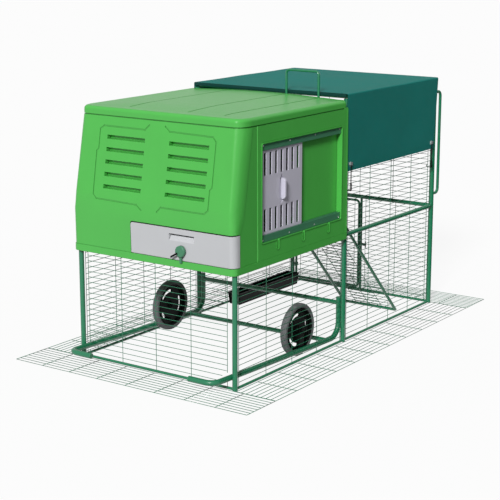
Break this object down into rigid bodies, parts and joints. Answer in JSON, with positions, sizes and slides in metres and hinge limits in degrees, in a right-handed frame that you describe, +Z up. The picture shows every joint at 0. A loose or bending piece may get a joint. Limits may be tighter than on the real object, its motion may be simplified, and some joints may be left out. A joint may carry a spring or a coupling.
{
  "type": "chicken coop with run",
  "caption": "Raised moulded hen house on a wheeled tube frame with a wire run behind it, an egg drawer, a sliding vent, a lifting pop door, a ramp and a cloth cover.",
  "frame": {"origin": "centre of the footprint of the wire aprons, on the ground", "axes": "+X to the right wall with the vent door, +Y from the louvred front to the run's rear, +Z up"},
  "size_m": [1.207, 2.045, 1.2],
  "materials": {
    "house_green": "satin moulded plastic",
    "drawer_grey": "satin moulded plastic",
    "vent_grey": "satin moulded plastic",
    "dark_green_plastic": "satin moulded plastic",
    "black_plastic": "satin moulded plastic",
    "tube_green": "powder coat",
    "wire_green": "powder coat",
    "grey_tyre": "matt",
    "bright_steel": "bright zinc",
    "cover_cloth": "coated woven cloth",
    "dark_cord": "braided",
    "perch_plastic": "satin"
  },
  "bodies": {
    "coop": {"house_base": "house_green", "house_front": "house_green", "house_left": "house_green", "house_right": "house_green", "house_rear": "house_green", "pop_door_guides": "vent_grey", "vent_lower_rail": "dark_green_plastic", "vent_upper_rail": "dark_green_plastic", "skid_plugs": "black_plastic", "wheel_lugs": "black_plastic", "cover_clips": "black_plastic", "front_left_post": "tube_green", "front_right_post": "tube_green", "mid_left_post": "tube_green", "mid_right_post": "tube_green", "rear_left_post": "tube_green", "rear_right_post": "tube_green", "house_support_hoop": "tube_green", "run_top_hoop": "tube_green", "left_grab_handle": "tube_green", "right_grab_handle": "tube_green", "left_skid": "tube_green", "right_skid": "tube_green", "upper_cross_tube": "tube_green", "lower_cross_tube": "tube_green", "run_door_hinges": "tube_green", "front_net": "wire_green", "left_front_net": "wire_green", "right_front_net": "wire_green", "left_run_net": "wire_green", "right_run_net": "wire_green", "rear_net": "wire_green", "run_top_net": "wire_green", "front_skirt": "wire_green", "rear_skirt": "wire_green", "left_skirt": "wire_green", "right_skirt": "wire_green", "axle_bolts": "bright_steel", "vent_screws": "bright_steel", "cover_grommets": "bright_steel", "cover_hooks": "bright_steel", "run_cover": "cover_cloth", "cover_cords": "dark_cord", "perch_bars": "perch_plastic"},
    "left_wheel": {"left_tyre": "grey_tyre", "left_hub": "black_plastic"},
    "right_wheel": {"right_tyre": "grey_tyre", "right_hub": "black_plastic"},
    "drawer": {"egg_drawer": "drawer_grey"},
    "drawer_catch": {"drawer_knob": "dark_green_plastic", "drawer_lever": "black_plastic"},
    "vent": {"vent_door": "vent_grey"},
    "pop": {"pop_door": "vent_grey", "lift_handle": "tube_green"},
    "rear_door": {"run_door": "wire_green"},
    "door_latch": {"run_door_latch": "black_plastic"},
    "ramp": {"ladder": "wire_green"},
    "roof": {"house_roof": "house_green"},
    "trough": {"feed_trough": "black_plastic"}
  },
  "joints": [
    {"name": "left_wheel_spin", "type": "hinge", "parent": "coop", "child": "left_wheel", "pos_m": [-0.3472, -0.283, 0.117], "axis": [1, 0, 0], "continuous": true},
    {"name": "right_wheel_spin", "type": "hinge", "parent": "coop", "child": "right_wheel", "pos_m": [0.3472, -0.283, 0.117], "axis": [1, 0, 0], "continuous": true},
    {"name": "drawer_slide", "type": "slide", "parent": "coop", "child": "drawer", "axis": [0, -1, 0], "range_m": [0, 0.3]},
    {"name": "drawer_catch_turn", "type": "hinge", "parent": "drawer", "child": "drawer_catch", "pos_m": [0.16, -0.85, 0.544], "axis": [0, -1, 0], "range_deg": [0, 90]},
    {"name": "vent_slide", "type": "slide", "parent": "coop", "child": "vent", "axis": [0, 1, 0], "range_m": [0, 0.29]},
    {"name": "pop_door_lift", "type": "slide", "parent": "coop", "child": "pop", "axis": [0, 0, 1], "range_m": [0, 0.23]},
    {"name": "rear_door_swing", "type": "hinge", "parent": "coop", "child": "rear_door", "pos_m": [-0.376, 0.816, 0.243], "axis": [0, 0, 1], "range_deg": [0, 100]},
    {"name": "door_latch_turn", "type": "hinge", "parent": "coop", "child": "door_latch", "pos_m": [0.011, 0.825, 0.241], "axis": [0, -1, 0], "range_deg": [0, 180]},
    {"name": "ramp_swing", "type": "hinge", "parent": "coop", "child": "ramp", "pos_m": [0.203, -0.001, 0.536], "axis": [1, 0, 0], "range_deg": [0, 30]},
    {"name": "roof_lift", "type": "slide", "parent": "coop", "child": "roof", "axis": [0, 0, 1], "range_m": [0, 0.08]},
    {"name": "trough_lift", "type": "slide", "parent": "coop", "child": "trough", "axis": [0, 0, 1], "range_m": [0, 0.012]}
  ]
}
